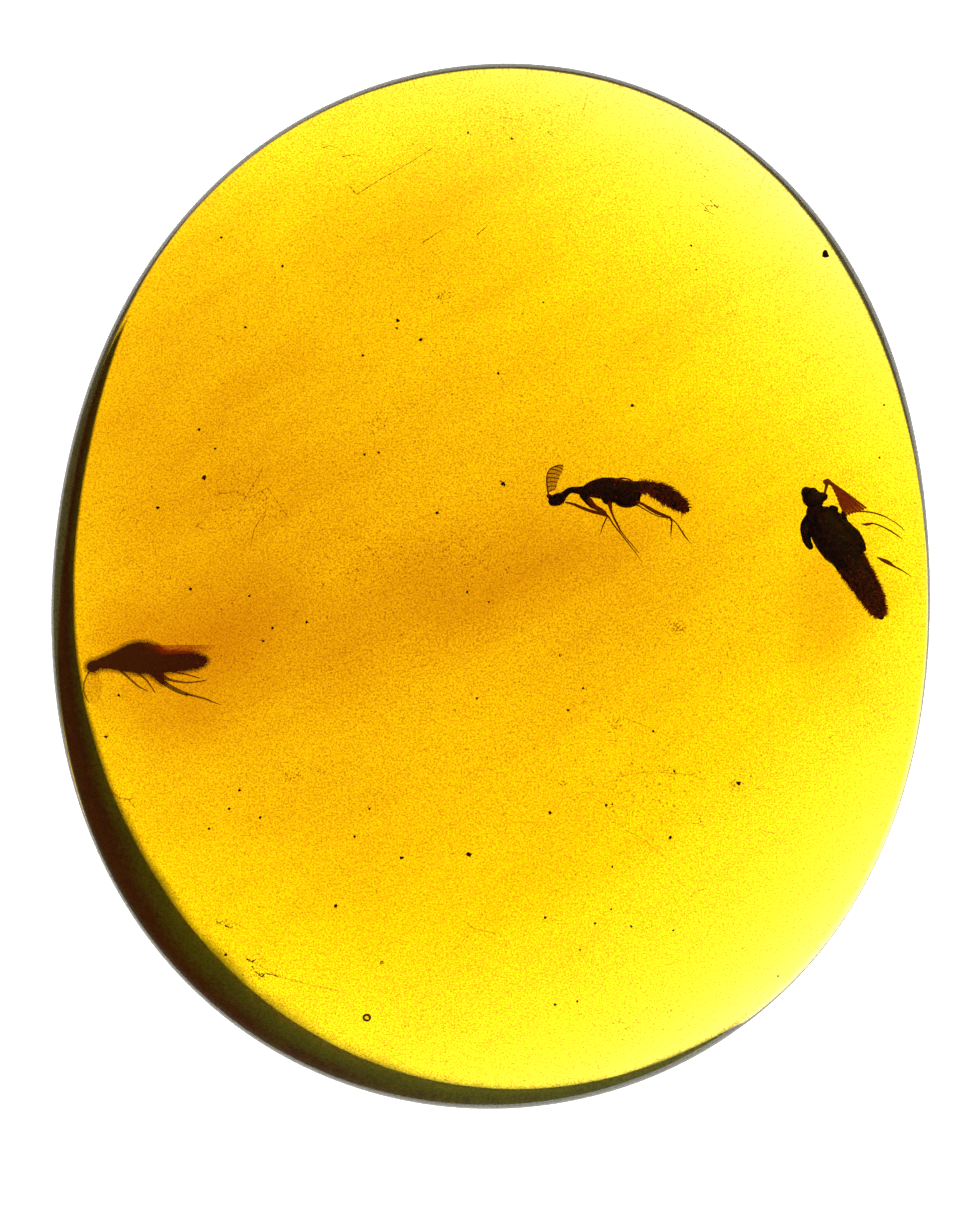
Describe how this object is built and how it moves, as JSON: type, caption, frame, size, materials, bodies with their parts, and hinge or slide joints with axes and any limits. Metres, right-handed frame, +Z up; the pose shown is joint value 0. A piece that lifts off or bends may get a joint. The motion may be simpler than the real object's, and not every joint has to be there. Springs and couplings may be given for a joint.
{
  "type": "insect in amber",
  "caption": "Polished oval amber cabochon with small fossil beetles sealed in clear golden resin, resting on its flat underside.",
  "frame": {"origin": "middle of the stone's outline, on its flat underside", "axes": "+Y along the stone's long side, towards the picture's top; +X across it, towards the picture's right; +Z up, out of the dome, towards the camera"},
  "size_m": [0.0202, 0.024, 0.0058],
  "materials": {
    "amber": "polished",
    "cuticle": "satin"
  },
  "bodies": {
    "root": {"amber_upper": "amber", "amber_lower": "amber", "beetle_middle": "cuticle", "beetle_right": "cuticle", "beetle_left": "cuticle"}
  },
  "joints": []
}
